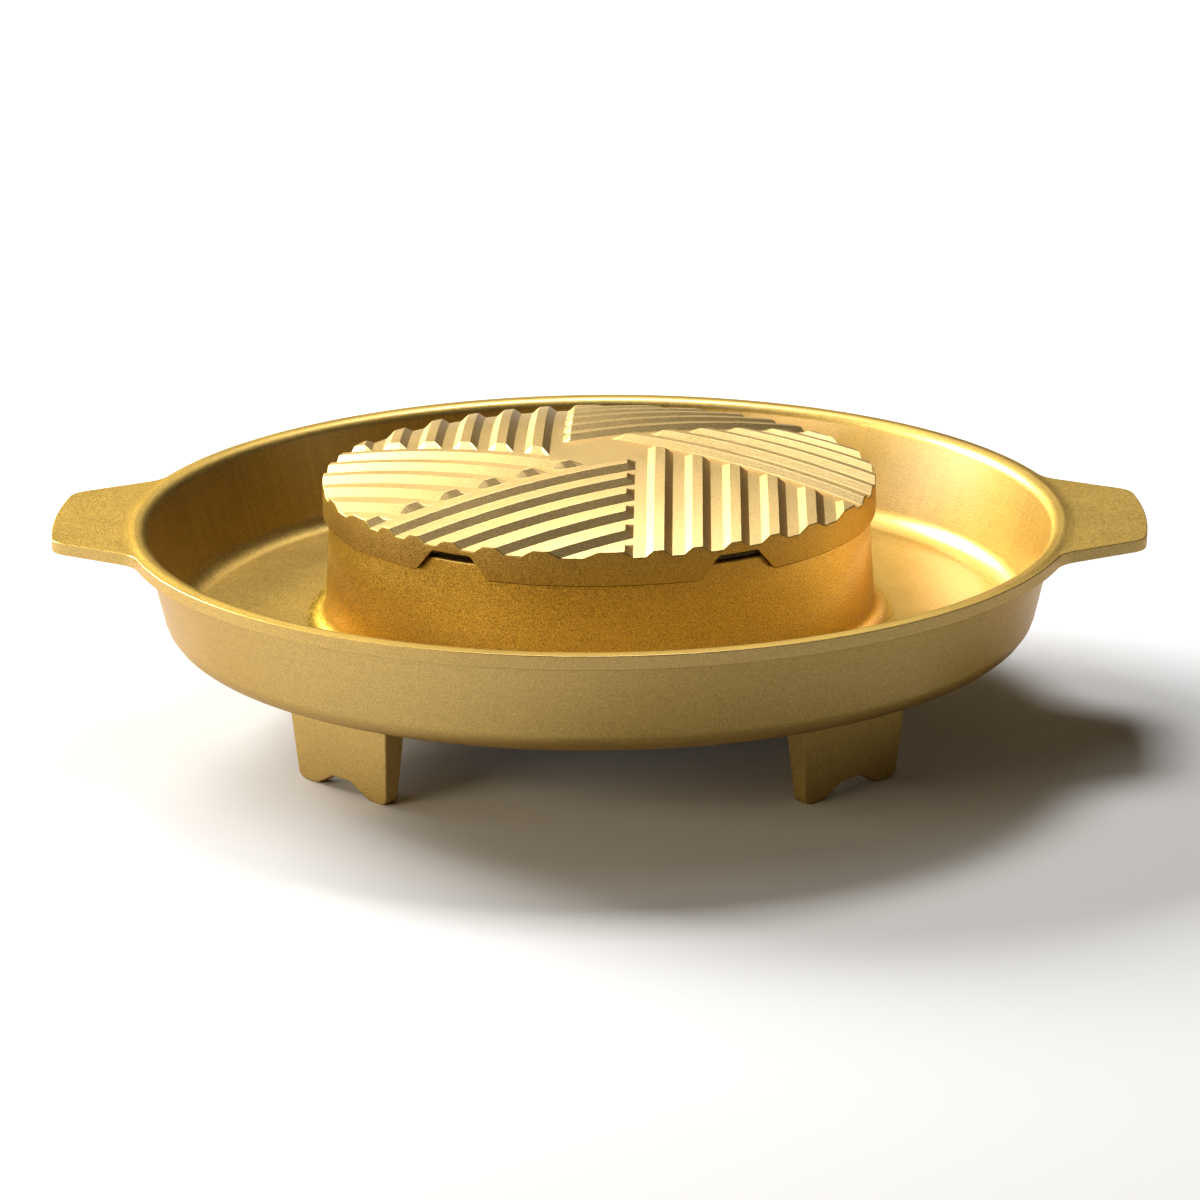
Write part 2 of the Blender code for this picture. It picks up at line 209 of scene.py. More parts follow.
def piece_from(name, bm, body):
    """A smooth-shaded piece that rides on a body and stands for that body's CAD node."""
    bmesh.ops.remove_doubles(bm, verts=bm.verts, dist=WELD_DISTANCE)
    bmesh.ops.dissolve_degenerate(bm, edges=bm.edges, dist=WELD_DISTANCE)
    bmesh.ops.recalc_face_normals(bm, faces=bm.faces)
    mesh = bpy.data.meshes.new(name)
    bm.to_mesh(mesh)
    bm.free()
    mesh.shade_smooth()
    piece = bpy.data.objects.new(name, mesh)
    bpy.context.scene.collection.objects.link(piece)
    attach(piece, body)
    return piece


def steady_normals(piece):
    """Lets the broad faces rule the shading, so that a flat stays flat right up to its round edge."""
    modifier = piece.modifiers.new("steady_normals", "WEIGHTED_NORMAL")
    modifier.mode = "FACE_AREA"
    modifier.weight = FLAT_WEIGHT


print("points closer than", 1000 * WELD_DISTANCE, "mm are welded")

# %% [markdown]
# ## The pan
#
# The section runs from the hub's top edge down its outside, across the trough's floor, up the leaning
# wall, over the round shoulder to the rim's crest, out to the edge, and back underneath. Only the rim's
# reach changes with the azimuth, and that alone makes the two handles: straight sides, round inner
# corners and a tip that runs parallel to the rim.

# %% Sizes of the pan
HUB_TOP_RADIUS = 0.1023
HUB_WALL = 0.0036
HUB_DRAFT = math.radians(3.5)
HUB_LIP_ROUNDING = 0.0010
HUB_FOOT_ROUNDING = 0.0065
COLLAR_DROP = 0.0045
COLLAR_ROUNDING = 0.0012
FLOOR_THICKNESS = 0.0037
PAN_DEPTH = 0.0383
FLOOR_TOP = RIM_TOP - PAN_DEPTH
UNDERSIDE = FLOOR_TOP - FLOOR_THICKNESS
MOAT_CORNER_ROUNDING = 0.0092
WALL_FOOT_THICKNESS = 0.0039
WALL_HEAD_THICKNESS = 0.0015
WALL_LEAN = math.radians(12.8)
WALL_FOOT_ROUNDING = 0.0105
RIM_THICKNESS = 0.0053
RIM_OVERHANG = 0.0074
RIM_FALL = 0.0007
RIM_EDGE_ROUNDING = 0.0004
RIM_ROOT_ROUNDING = 0.0015
RIM_UNDERSIDE = RIM_TOP - RIM_THICKNESS
SHOULDER_ROUNDING = 0.0050

TIP_RADIUS = pan_high.x
TIP_WIDTH = 0.0652
SIDE_LEAN = math.radians(29.5)
TIP_ROUNDING = 0.0095
ROOT_ROUNDING = 0.0160
print("the trough is", round(1000 * PAN_DEPTH, 1), "mm deep")


# %% How far the rim reaches
class Handle:
    """Plan of a handle: its side's line, and the circles that round it at the tip and at the root."""

    def __init__(self):
        self.lean = math.pi / 2 - SIDE_LEAN
        across = Vector((math.cos(self.lean), math.sin(self.lean)))
        self.side = across.dot(Vector((TIP_RADIUS, TIP_WIDTH / 2)))
        self.tip_reach = TIP_RADIUS - TIP_ROUNDING
        self.root_reach = RIM_RADIUS + ROOT_ROUNDING
        self.tip_azimuth = self.lean - math.acos((self.side - TIP_ROUNDING) / self.tip_reach)
        self.root_azimuth = self.lean - math.acos((self.side + ROOT_ROUNDING) / self.root_reach)
        self.tip_end = self.azimuth_of(self.tip_reach, self.tip_azimuth, TIP_ROUNDING * across)
        self.root_end = self.azimuth_of(self.root_reach, self.root_azimuth, -ROOT_ROUNDING * across)

    def azimuth_of(self, reach, azimuth, offset):
        """Azimuth of the point where a circle, centred at a reach and azimuth, touches the side's line."""
        point = Vector((reach * math.cos(azimuth), reach * math.sin(azimuth))) + offset
        return math.atan2(point.y, point.x)

    def circle_reach(self, reach, azimuth, rounding, turn, side):
        """Distance from the pan's axis to a circle, on its far side (1) or its near side (-1)."""
        along = reach * math.cos(turn - azimuth)
        across = reach * math.sin(turn - azimuth)
        return along + side * math.sqrt(max(rounding**2 - across**2, 0))

    def reach(self, azimuth):
        """How far the rim reaches at an azimuth."""
        turn = math.asin(min(abs(math.sin(azimuth)), 1))
        if turn >= self.root_azimuth:
            return RIM_RADIUS
        if turn > self.root_end:
            return self.circle_reach(self.root_reach, self.root_azimuth, ROOT_ROUNDING, turn, -1)
        if turn > self.tip_end:
            return self.side / math.cos(self.lean - turn)
        if turn > self.tip_azimuth:
            return self.circle_reach(self.tip_reach, self.tip_azimuth, TIP_ROUNDING, turn, 1)
        return TIP_RADIUS


handle = Handle()
print("a handle meets the rim at", round(math.degrees(handle.root_azimuth), 1), "degrees from its middle")

# %% The pan's section at one azimuth
CREST_SET_IN = 0.0037
CREST_RADIUS = RIM_RADIUS - CREST_SET_IN
TOP_STEPS = 9
TOP_CROWDING = 1.6


def wall_outer_radius(height):
    """Radius of the wall's outer face, which leans outwards as it rises."""
    return RIM_RADIUS - RIM_OVERHANG - (RIM_UNDERSIDE - height) * math.tan(WALL_LEAN)


def wall_inner_radius(height):
    """The inner face leans a little more than the outer one, so that the wall thins towards the rim."""
    share = (height - FLOOR_TOP) / (RIM_TOP - FLOOR_TOP)
    thickness = WALL_FOOT_THICKNESS + share * (WALL_HEAD_THICKNESS - WALL_FOOT_THICKNESS)
    return wall_outer_radius(height) - thickness / math.cos(WALL_LEAN)


def hub_outer_radius(height):
    """Radius of the hub's outer face, which widens towards the floor."""
    return HUB_TOP_RADIUS + (HUB_TOP - height) * math.tan(HUB_DRAFT)


def rim_height(radius, azimuth):
    """Height of the rim's upper face, which falls a little from its crest to the handles."""
    share = min(max((radius - CREST_RADIUS) / (RIM_RADIUS - CREST_RADIUS), 0), 1)
    return RIM_TOP - RIM_FALL * math.cos(azimuth) ** 2 * share * share * (3 - 2 * share)


def pan_section(azimuth):
    """The closed outline of the pan's wall at an azimuth."""
    reach = handle.reach(azimuth)
    edge = reach - RIM_EDGE_ROUNDING
    shares = [(i / TOP_STEPS) ** TOP_CROWDING for i in range(TOP_STEPS)]
    radii = [CREST_RADIUS + (edge - CREST_RADIUS) * share for share in shares]
    top = [(radius, rim_height(radius, azimuth), 0) for radius in radii]
    collar_bottom = UNDERSIDE - COLLAR_DROP
    corners = [
        (hub_outer_radius(HUB_TOP) - HUB_WALL, HUB_TOP, HUB_LIP_ROUNDING),
        (hub_outer_radius(HUB_TOP), HUB_TOP, HUB_LIP_ROUNDING),
        (hub_outer_radius(FLOOR_TOP), FLOOR_TOP, HUB_FOOT_ROUNDING),
        (wall_inner_radius(FLOOR_TOP), FLOOR_TOP, MOAT_CORNER_ROUNDING),
        (wall_inner_radius(RIM_TOP), RIM_TOP, SHOULDER_ROUNDING),
        *top,
        (reach, rim_height(reach, azimuth), RIM_EDGE_ROUNDING),
        (reach, RIM_UNDERSIDE, RIM_EDGE_ROUNDING),
        (wall_outer_radius(RIM_UNDERSIDE), RIM_UNDERSIDE, RIM_ROOT_ROUNDING),
        (wall_outer_radius(UNDERSIDE), UNDERSIDE, WALL_FOOT_ROUNDING),
        (hub_outer_radius(UNDERSIDE), UNDERSIDE, COLLAR_ROUNDING),
        (hub_outer_radius(UNDERSIDE), collar_bottom, COLLAR_ROUNDING),
        (hub_outer_radius(collar_bottom) - HUB_WALL, collar_bottom, COLLAR_ROUNDING),
    ]
    return rounded(corners)


print("the pan's section has", len(pan_section(0)), "points")

# %% Where the sections stand
PLAIN_STEP = math.radians(1.2)
HANDLE_STEP = math.radians(0.35)


def spaced(start, end, step):
    """Azimuths from start up to end, without end, at most a step apart."""
    count = math.ceil((end - start) / step)
    return [start + (end - start) * i / count for i in range(count)]


def pan_azimuths():
    """One turn of azimuths, closer together along the handles."""
    root = handle.root_azimuth
    quarter = spaced(0, root, HANDLE_STEP) + spaced(root, math.pi / 2, PLAIN_STEP)
    half = quarter + [math.pi / 2] + [math.pi - azimuth for azimuth in reversed(quarter[1:])]
    return half + [math.pi + azimuth for azimuth in half]


print("one turn of the pan has", len(pan_azimuths()), "sections")


# %% Turn the sections into the pan
def pan_shell():
    """The pan without its feet, as a closed ring of sections."""
    bm = bmesh.new()
    sections = []
    for azimuth in pan_azimuths():
        way = Vector((math.cos(azimuth), math.sin(azimuth), 0))
        outline = pan_section(azimuth)
        sections.append([bm.verts.new(way * point.x + Vector((0, 0, point.y))) for point in outline])
    skin(bm, sections)
    return bm


pan = piece_from("pan_casting", pan_shell(), "pan")
print("the pan without its feet has", len(pan.data.vertices), "points")

# %% [markdown]
# ## The feet
#
# Each foot is a drafted plate with two toes, and between them a notch that drops over an arm of the
# stove's pan support. The plate is a grid of columns and rows on its front, mirrored to its back. The
# columns run from the notched lower edge up into the floor, so every edge, also those of the notch, gets
# its small rounding from the distance to that edge. An extruded outline with a bevel would do too, but it
# would leave no way to flare the foot into the floor.

# %% Sizes of a foot
FOOT_COUNT = 4
FIRST_FOOT_AZIMUTH = math.radians(45)
FOOT_CIRCLE_RADIUS = 0.1293
FOOT_TOP_WIDTH = 0.0552
FOOT_TOE_WIDTH = 0.0488
FOOT_TOE_THICKNESS = 0.0056
FOOT_DRAFT = math.radians(4.0)
FOOT_TOE_ROUNDING = 0.0036
FOOT_EDGE_ROUNDING = 0.0008
FOOT_FLARE = 0.0016
GAP_MOUTH_WIDTH = 0.0286
GAP_ROOF_WIDTH = 0.0100
GAP_HEIGHT = 0.0050
GAP_ROUNDING = 0.0025
gap_ramp = Ramp((GAP_MOUTH_WIDTH - GAP_ROOF_WIDTH) / 2, GAP_HEIGHT, GAP_ROUNDING)
foot_top = UNDERSIDE + FLOOR_THICKNESS / 2
print("a foot stands", round(1000 * UNDERSIDE, 1), "mm tall under the floor")


# %% The foot's lower edge
def arc_drop(distance, rounding):
    """How far a rounded edge falls back, at a distance from where the edge would be sharp."""
    inside = min(max(rounding - distance, 0), rounding)
    return rounding - math.sqrt(rounding**2 - inside**2)


def foot_lower_edge(x):
    """Height of the lower edge: flat toes, round outer corners, and the notch between them."""
    toe = arc_drop(FOOT_TOE_WIDTH / 2 - abs(x), FOOT_TOE_ROUNDING)
    return toe + gap_ramp.height(GAP_MOUTH_WIDTH / 2 - abs(x))


print("the notch is", round(1000 * foot_lower_edge(0), 1), "mm high")

# %% The foot's surface
TOE_STEPS = 8
EDGE_SHARES = (0.1, 0.3, 0.6)
FLARE_SHARES = (1, 0.65, 0.35, 0.12, 0)
FLARE_POWER = 6


def foot_columns():
    """Places across the foot, at toe level, with more of them where the lower edge bends."""
    half = FOOT_TOE_WIDTH / 2
    turns = [math.pi / 2 * i / TOE_STEPS for i in range(TOE_STEPS + 1)]
    corner = [half - FOOT_TOE_ROUNDING * (1 - math.sin(turn)) for turn in turns]
    edge = [half - FOOT_EDGE_ROUNDING * share for share in EDGE_SHARES]
    notch = [GAP_MOUTH_WIDTH / 2 - stop for stop in gap_ramp.stops()]
    toe_middle = (half - FOOT_TOE_ROUNDING + GAP_MOUTH_WIDTH / 2) / 2
    right = sorted(set(corner + edge + notch + [toe_middle]))
    return [-x for x in reversed(right)] + [0.0] + right


def foot_rows(bottom):
    """Heights from the lower edge up into the floor, close together at both ends."""
    low = [bottom + FOOT_EDGE_ROUNDING * share for share in (0, *EDGE_SHARES, 1)]
    flare = [UNDERSIDE - FOOT_FLARE * share for share in FLARE_SHARES]
    middle = [(low[-1] + flare[0]) / 2]
    return low + middle + flare + [foot_top]


def foot_point(x, height, bottom, side):
    """A point of the front (1) or back (-1) face, in the foot's own frame: x across, y outwards."""
    rise = (height - bottom) / (foot_top - bottom) if foot_top > bottom else 0
    flare = arc_drop(UNDERSIDE - height, FOOT_FLARE) if height > UNDERSIDE - FOOT_FLARE else 0
    spread = 1 + rise * (FOOT_TOP_WIDTH / FOOT_TOE_WIDTH - 1)
    at_side = (abs(x) / (FOOT_TOE_WIDTH / 2)) ** FLARE_POWER
    across = x * spread + math.copysign(flare, x) * at_side
    thickness = FOOT_TOE_THICKNESS / 2 + height * math.tan(FOOT_DRAFT) + flare
    thickness -= arc_drop(FOOT_TOE_WIDTH / 2 - abs(x), FOOT_EDGE_ROUNDING)
    thickness -= arc_drop(height - bottom, FOOT_EDGE_ROUNDING)
    return Vector((across, side * thickness, height))


print("a foot has", len(foot_columns()), "columns and", len(foot_rows(0)), "rows")


# %% Four feet
def add_foot(bm, azimuth):
    """A closed foot at an azimuth, square to the radius."""
    turn = Matrix.Rotation(azimuth - math.pi / 2, 4, "Z")
    placed = turn @ Matrix.Translation((0, FOOT_CIRCLE_RADIUS, 0))
    loops = []
    for x in foot_columns():
        bottom = foot_lower_edge(x)
        rows = foot_rows(bottom)
        front = [bm.verts.new(placed @ foot_point(x, height, bottom, 1)) for height in rows]
        back = [bm.verts.new(placed @ foot_point(x, height, bottom, -1)) for height in reversed(rows)]
        loops.append(front + back)
    for here, there in zip(loops, loops[1:]):
        for i in range(len(here)):
            bm.faces.new((here[i - 1], there[i - 1], there[i], here[i]))
    for loop in (loops[0], loops[-1]):
        for i in range(len(loop) // 2 - 1):
            bm.faces.new((loop[i], loop[i + 1], loop[-i - 2], loop[-i - 1]))


feet = bmesh.new()
for i in range(FOOT_COUNT):
    add_foot(feet, FIRST_FOOT_AZIMUTH + math.tau * i / FOOT_COUNT)
print("the feet have", len(feet.verts), "points")

# %% Join the feet to the pan
PAN_CREASE = math.radians(40)


def join(piece, tool):
    """Unites a piece with a tool, which is then removed."""
    modifier = piece.modifiers.new("join", "BOOLEAN")
    modifier.operation = "UNION"
    modifier.solver = "EXACT"
    modifier.object = tool
    graph = bpy.context.evaluated_depsgraph_get()
    rough = piece.data
    piece.data = bpy.data.meshes.new_from_object(piece.evaluated_get(graph))
    piece.modifiers.clear()
    bpy.data.meshes.remove(rough)
    bpy.data.objects.remove(tool)


join(pan, piece_from("feet", feet, "pan"))
pan.data.shade_smooth()
pan.data.set_sharp_from_angle(angle=PAN_CREASE)
steady_normals(pan)
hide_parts("pan")
print("pan:", len(pan.data.vertices), "points")

# %% [markdown]
# ## The grill plate's pattern
#
# Six sectors turn round a plain hexagon like a pinwheel. In each, straight ribs run from the plate's edge
# in to the next sector's line, where they end in a slope. Ribs could be cut with Booleans or painted as a
# displacement, but a displaced grid makes slanted edges ragged. Here the disc starts as six sectors and a
# hexagon, knife cuts are laid exactly where the ribs bend, and then each point is lifted to the height
# that belongs there.

# %% Sizes of the grill plate
PLATE_RADIUS = plate_high.y
SKIRT_BOTTOM = plate_low.z
SEAT_GAP = 0.0003
SEAT = HUB_TOP + SEAT_GAP
PLATE_THICKNESS = 0.0048
DOME_RISE = 0.0117
DOME_TOP = SEAT + PLATE_THICKNESS + DOME_RISE
PLATE_EDGE_ROUNDING = 0.0004
print("the plate is", round(2000 * PLATE_RADIUS), "mm across")

# %% Sizes of the ribs
SECTOR_COUNT = 6
SECTOR_ANGLE = math.tau / SECTOR_COUNT
MIDDLE_APOTHEM = 0.0142
RIB_VALLEY = 0.0044
RIB_CREST = 0.0038
RIB_SIDE_RUN = 0.0029
RIB_RISE = 0.0023
RIB_EDGE_ROUNDING = 0.00045
rib_ramp = Ramp(RIB_SIDE_RUN, RIB_RISE, RIB_EDGE_ROUNDING)
RIB_PITCH = RIB_VALLEY + RIB_CREST + 2 * rib_ramp.run
CROSS_STEP = 0.0055
print("the ribs stand", round(1000 * RIB_PITCH, 1), "mm apart")

# %% Sizes of the vents
VENT_AZIMUTHS = [math.radians(degrees) for degrees in (60, 120, 240, 300)]
VENT_MOUTH_WIDTH = 0.0312
VENT_SIDE_RUN = 0.0075
VENT_OPENING = 0.0029
VENT_ROUNDING = 0.0020
vent_ramp = Ramp(VENT_SIDE_RUN, HUB_TOP + VENT_OPENING - SKIRT_BOTTOM, VENT_ROUNDING)
print("a vent clears the hub by", round(1000 * VENT_OPENING, 1), "mm")


# %% Height of the plate's upper face
def sector_axes(index):
    """Directions of a sector: across its ribs, and across the next sector's ribs."""
    turn = index * SECTOR_ANGLE
    across = Vector((math.cos(turn), math.sin(turn)))
    next_across = Vector((math.cos(turn + SECTOR_ANGLE), math.sin(turn + SECTOR_ANGLE)))
    return across, next_across


def rib_lines():
    """Distances from the middle to the nearer and the further foot of each rib."""
    near = MIDDLE_APOTHEM + RIB_VALLEY
    while near < PLATE_RADIUS:
        yield near, near + RIB_CREST + 2 * rib_ramp.run
        near += RIB_PITCH


def rib_height(point, index):
    """How far a sector's rib stands above the dome at a point."""
    across, next_across = sector_axes(index)
    place = across.dot(point)
    from_end = MIDDLE_APOTHEM - next_across.dot(point) - rib_ramp.tangent
    inside = max(min(place - near, far - place) for near, far in rib_lines())
    return rib_ramp.height(min(inside, from_end))


def dome_height(radius):
    """Height of the dome, a cap of a ball that DOME_RISE and the plate's radius give."""
    ball = (PLATE_RADIUS**2 + DOME_RISE**2) / (2 * DOME_RISE)
    return DOME_TOP - ball + math.sqrt(ball**2 - radius**2)


print("the dome's edge is", round(1000 * dome_height(PLATE_RADIUS), 1), "mm above the floor")

# %% Azimuths of the plate's edge
PLATE_STEP = math.radians(1.5)


def plate_azimuths():
    """Azimuths of the plate's edge: evenly spaced ones, and those where a vent's outline bends."""
    azimuths = set(spaced(0, math.tau, PLATE_STEP))
    for middle in VENT_AZIMUTHS:
        for stop in vent_ramp.stops():
            turn = math.asin((VENT_MOUTH_WIDTH / 2 - stop) / PLATE_RADIUS)
            azimuths |= {(middle - turn) % math.tau, (middle + turn) % math.tau}
    return sorted(azimuths)


def sector_line_azimuth(index):
    """Azimuth where a sector's own line leaves the plate."""
    return index * SECTOR_ANGLE - math.acos(MIDDLE_APOTHEM / PLATE_RADIUS)


print("the plate's edge has", len(plate_azimuths()), "azimuths")


# %% Lay out the sectors
def flat_sectors(bm, azimuths):
    """A flat disc of six sectors round a hexagon. A face's material index is its sector's number."""
    reach = MIDDLE_APOTHEM / math.cos(SECTOR_ANGLE / 2)
    corners = []
    for i in range(SECTOR_COUNT):
        turn = (i + 0.5) * SECTOR_ANGLE
        corners.append(bm.verts.new((reach * math.cos(turn), reach * math.sin(turn), 0)))

    def edge_vertex(azimuth):
        """A new point on the plate's edge."""
        return bm.verts.new((PLATE_RADIUS * math.cos(azimuth), PLATE_RADIUS * math.sin(azimuth), 0))

    starts = [edge_vertex(sector_line_azimuth(i)) for i in range(SECTOR_COUNT)]
    for i in range(SECTOR_COUNT):
        start = sector_line_azimuth(i)
        turns = sorted((azimuth - start) % math.tau for azimuth in azimuths)
        inner = [turn for turn in turns if WELD_DISTANCE < turn < SECTOR_ANGLE - WELD_DISTANCE]
        arc = [edge_vertex(start + turn) for turn in inner]
        ring = [corners[i - 1], starts[i], *arc, starts[(i + 1) % SECTOR_COUNT], corners[i]]
        bm.faces.new(ring).material_index = i
    bm.faces.new(corners).material_index = SECTOR_COUNT


print("a sector spans", round(math.degrees(SECTOR_ANGLE)), "degrees")


# %% Knife cuts along the ribs
def cut_sector(bm, index, distance, across):
    """Cuts one sector's faces along the line at a distance from the middle, square to across."""
    faces = [face for face in bm.faces if face.material_index == index]
    edges = {edge for face in faces for edge in face.edges}
    verts = {vert for face in faces for vert in face.verts}
    normal = across.to_3d()
    bmesh.ops.bisect_plane(
        bm, geom=[*verts, *edges, *faces], plane_co=normal * distance, plane_no=normal, dist=WELD_DISTANCE
    )


def cut_ribs(bm, index):
    """All cuts of one sector: along its ribs, along their sloping ends, and across at even steps."""
    across, next_across = sector_axes(index)
    for near, far in rib_lines():
        for stop in rib_ramp.stops():
            for place in (near + stop, far - stop):
                if place < PLATE_RADIUS:
                    cut_sector(bm, index, place, across)
    ends = [stop + rib_ramp.tangent for stop in rib_ramp.stops()]
    steps = spaced(ends[-1] + CROSS_STEP, 2 * PLATE_RADIUS, CROSS_STEP)
    for distance in ends[1:] + steps:
        cut_sector(bm, index, MIDDLE_APOTHEM - distance, next_across)


print("each side of a rib bends along", len(rib_ramp.stops()), "lines")


# %% Cuts round the plate's edge
def cut_circle(bm, radius):
    """Cuts the faces along a circle about the middle."""
    fresh = set()
    for edge in list(bm.edges):
        a, b = edge.verts
        near, far = a.co.to_2d().length, b.co.to_2d().length
        if (near - radius) * (far - radius) < 0:
            share = (radius - near) / (far - near)
            fresh.add(bmesh.utils.edge_split(edge, a, share)[1])
    for face in list(bm.faces):
        ends = [vert for vert in face.verts if vert in fresh]
        if len(ends) == 2:
            bmesh.utils.face_split(face, ends[0], ends[1])


print("the plate's edge is rounded over", round(1000 * PLATE_EDGE_ROUNDING, 1), "mm")

# %% Lift the points
BENT_GAP = 20 * WELD_DISTANCE


def lift(bm):
    """Raises each point of the flat disc to the dome, the ribs and the rounded edge."""
    ribs = {}
    for face in bm.faces:
        for vert in face.verts:
            rise = 0.0
            if face.material_index < SECTOR_COUNT:
                rise = rib_height(vert.co.to_2d(), face.material_index)
            ribs[vert] = max(rise, ribs.get(vert, 0.0))
    for vert, rise in ribs.items():
        radius = vert.co.to_2d().length
        vert.co.z = dome_height(min(radius, PLATE_RADIUS)) + rise
        vert.co.z -= arc_drop(PLATE_RADIUS - radius, PLATE_EDGE_ROUNDING)


def crease_quads(bm):
    """Splits the bent quads, where a rib's side and end meet, along the diagonal that lies on the hip."""
    bent = [face for face in bm.faces if len(face.verts) == 4]
    for face in bent:
        a, b, c, d = face.verts
        lift_gap = (a.co.z + c.co.z) - (b.co.z + d.co.z)
        if abs(lift_gap) > BENT_GAP:
            ends = (a, c) if lift_gap > 0 else (b, d)
            bmesh.utils.face_split(face, *ends)


print("a quad counts as bent from", round(1000 * BENT_GAP, 3), "mm")

# %% [markdown]
# ## The skirt and the underside
#
# Under the dome's edge a short skirt drops round the hub, with four vents for the burner's hot gas. Each
# point on the plate's edge gets a section of its own: down the skirt, round its lower edge at whatever
# height the vents leave it, up to the seat that rests on the hub, and in under the dome.

# %% Sections of the skirt
SKIRT_WALL = 0.0018
SKIRT_INNER_RADIUS = PLATE_RADIUS - SKIRT_WALL
SEAT_MARGIN = 0.0030
SEAT_INNER_RADIUS = HUB_TOP_RADIUS - HUB_WALL - SEAT_MARGIN
HOLLOW_MARGIN = 0.0015
HOLLOW_SHARES = (1, 0.85, 0.65, 0.4, 0.2)
SKIRT_ROUNDING = 0.0005
SKIRT_STEPS = 4


def skirt_lower_edge(azimuth):
    """Height of the skirt's lower edge, raised where a vent is."""
    turns = [math.remainder(azimuth - middle, math.tau) for middle in VENT_AZIMUTHS]
    nearest = min(abs(turn) for turn in turns)
    from_mouth = VENT_MOUTH_WIDTH / 2 - PLATE_RADIUS * math.sin(min(nearest, math.pi / 2))
    return SKIRT_BOTTOM + vent_ramp.height(from_mouth)


def skirt_section(azimuth, top):
    """Points (radius, height) from just under the plate's edge to just short of its middle."""
    bottom = skirt_lower_edge(azimuth)
    inner_rounding = min(SKIRT_ROUNDING, max(SEAT - bottom, 0))
    seat = max(SEAT, bottom)
    turns = [math.pi / 2 * i / SKIRT_STEPS for i in range(SKIRT_STEPS + 1)]
    start = min(bottom + SKIRT_ROUNDING, top)
    points = [(PLATE_RADIUS, top + (start - top) * share) for share in (0.25, 0.5, 0.75)]
    for turn in turns:
        across = PLATE_RADIUS - SKIRT_ROUNDING * (1 - math.cos(turn))
        points.append((across, start - SKIRT_ROUNDING * math.sin(turn)))
    for turn in turns:
        across = SKIRT_INNER_RADIUS + inner_rounding * (1 - math.sin(turn))
        points.append((across, bottom + inner_rounding * (1 - math.cos(turn))))
    points += [(SKIRT_INNER_RADIUS, seat), (SEAT_INNER_RADIUS, seat)]
    for share in HOLLOW_SHARES:
        radius = (SEAT_INNER_RADIUS - HOLLOW_MARGIN) * share
        points.append((radius, dome_height(radius) - PLATE_THICKNESS))
    return points


print("the skirt's section has", len(skirt_section(0, dome_height(PLATE_RADIUS))), "points")


# %% Close the plate from below
def add_underside(bm):
    """Closes the plate from its edge down the skirt and in to the middle."""
    rim = [vert for vert in bm.verts if any(len(edge.link_faces) == 1 for edge in vert.link_edges)]
    rim.sort(key=lambda vert: math.atan2(vert.co.y, vert.co.x))
    sections = []
    for vert in rim:
        azimuth = math.atan2(vert.co.y, vert.co.x)
        way = Vector((math.cos(azimuth), math.sin(azimuth), 0))
        section = skirt_section(azimuth, vert.co.z)
        below = [way * radius + Vector((0, 0, height)) for radius, height in section]
        sections.append([vert] + [bm.verts.new(point) for point in below])
    skin(bm, sections, around=False)
    middle = bm.verts.new((0, 0, DOME_TOP - PLATE_THICKNESS))
    for here, there in zip(sections, sections[1:] + sections[:1]):
        bm.faces.new((here[-1], middle, there[-1]))


print("under its middle the plate is", round(1000 * PLATE_THICKNESS, 1), "mm thick")

# %% Make the grill plate
PLATE_CREASE = math.radians(50)


def grill_plate_mesh():
    """The whole plate: sectors, ribs, dome and skirt."""
    bm = bmesh.new()
    flat_sectors(bm, plate_azimuths())
    for index in range(SECTOR_COUNT):
        cut_ribs(bm, index)
    for share in (1, *reversed(EDGE_SHARES)):
        cut_circle(bm, PLATE_RADIUS - PLATE_EDGE_ROUNDING * share)
    lift(bm)
    crease_quads(bm)
    for face in bm.faces:
        face.material_index = 0
    add_underside(bm)
    return bm


plate = piece_from("grill_plate_casting", grill_plate_mesh(), "grill_plate")
plate.data.set_sharp_from_angle(angle=PLATE_CREASE)
steady_normals(plate)
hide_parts("grill_plate")
print("grill plate:", len(plate.data.vertices), "points")

# %% [markdown]
# ## The coat
#
# The coat is a metallic paint baked on aluminium: tiny flakes give the gold its broad, soft gleam and a
# grain like very fine sand, and a clear binder over them adds a second, colourless reflection, which
# turns the brightest places cream. One Principled shader with a coat layer does both, and a gold tint on
# its edge reflection keeps faces that are seen at a slant from going grey. The hub and the skirt get more
# grain, and a deeper, darker gold that is painted shade. Inside the hub and under the plate the colour is
# painted dark, as painted shade. The plate's gold is a little paler than the pan's, a painted highlight
# that makes its lit top read cream, and it has less binder over its flakes.
#
# A photograph of such a surface could be tiled over it, but it would show seams and stretch on the walls.
# So the grain, the ring with more grain and painted shade, the strokes left by turning, the streaks on
# the wall, the painted shade inside and the drift in tone are node groups. Both castings place them, each
# with its own values.


# %% Helpers for groups and numbers
def new_group(name, inputs, output):
    """An empty shader node group, with number inputs from (name, value) pairs and one number output."""
    group = bpy.data.node_groups.new(name, "ShaderNodeTree")
    for label, value in inputs:
        socket = group.interface.new_socket(label, in_out="INPUT", socket_type="NodeSocketFloat")
        socket.default_value = value
    group.interface.new_socket(output, in_out="OUTPUT", socket_type="NodeSocketFloat")
    return group, group.nodes.new("NodeGroupInput").outputs, group.nodes.new("NodeGroupOutput").inputs


def maths(tree, operation, first, second=0.0):
    """A Math node; each operand is a socket or a number."""
    node = tree.nodes.new("ShaderNodeMath")
    node.operation = operation
    for socket, value in zip(node.inputs, (first, second)):
        if isinstance(value, (int, float)):
            socket.default_value = value
        else:
            tree.links.new(value, socket)
    return node.outputs[0]


print("helpers made:", new_group.__name__, maths.__name__)


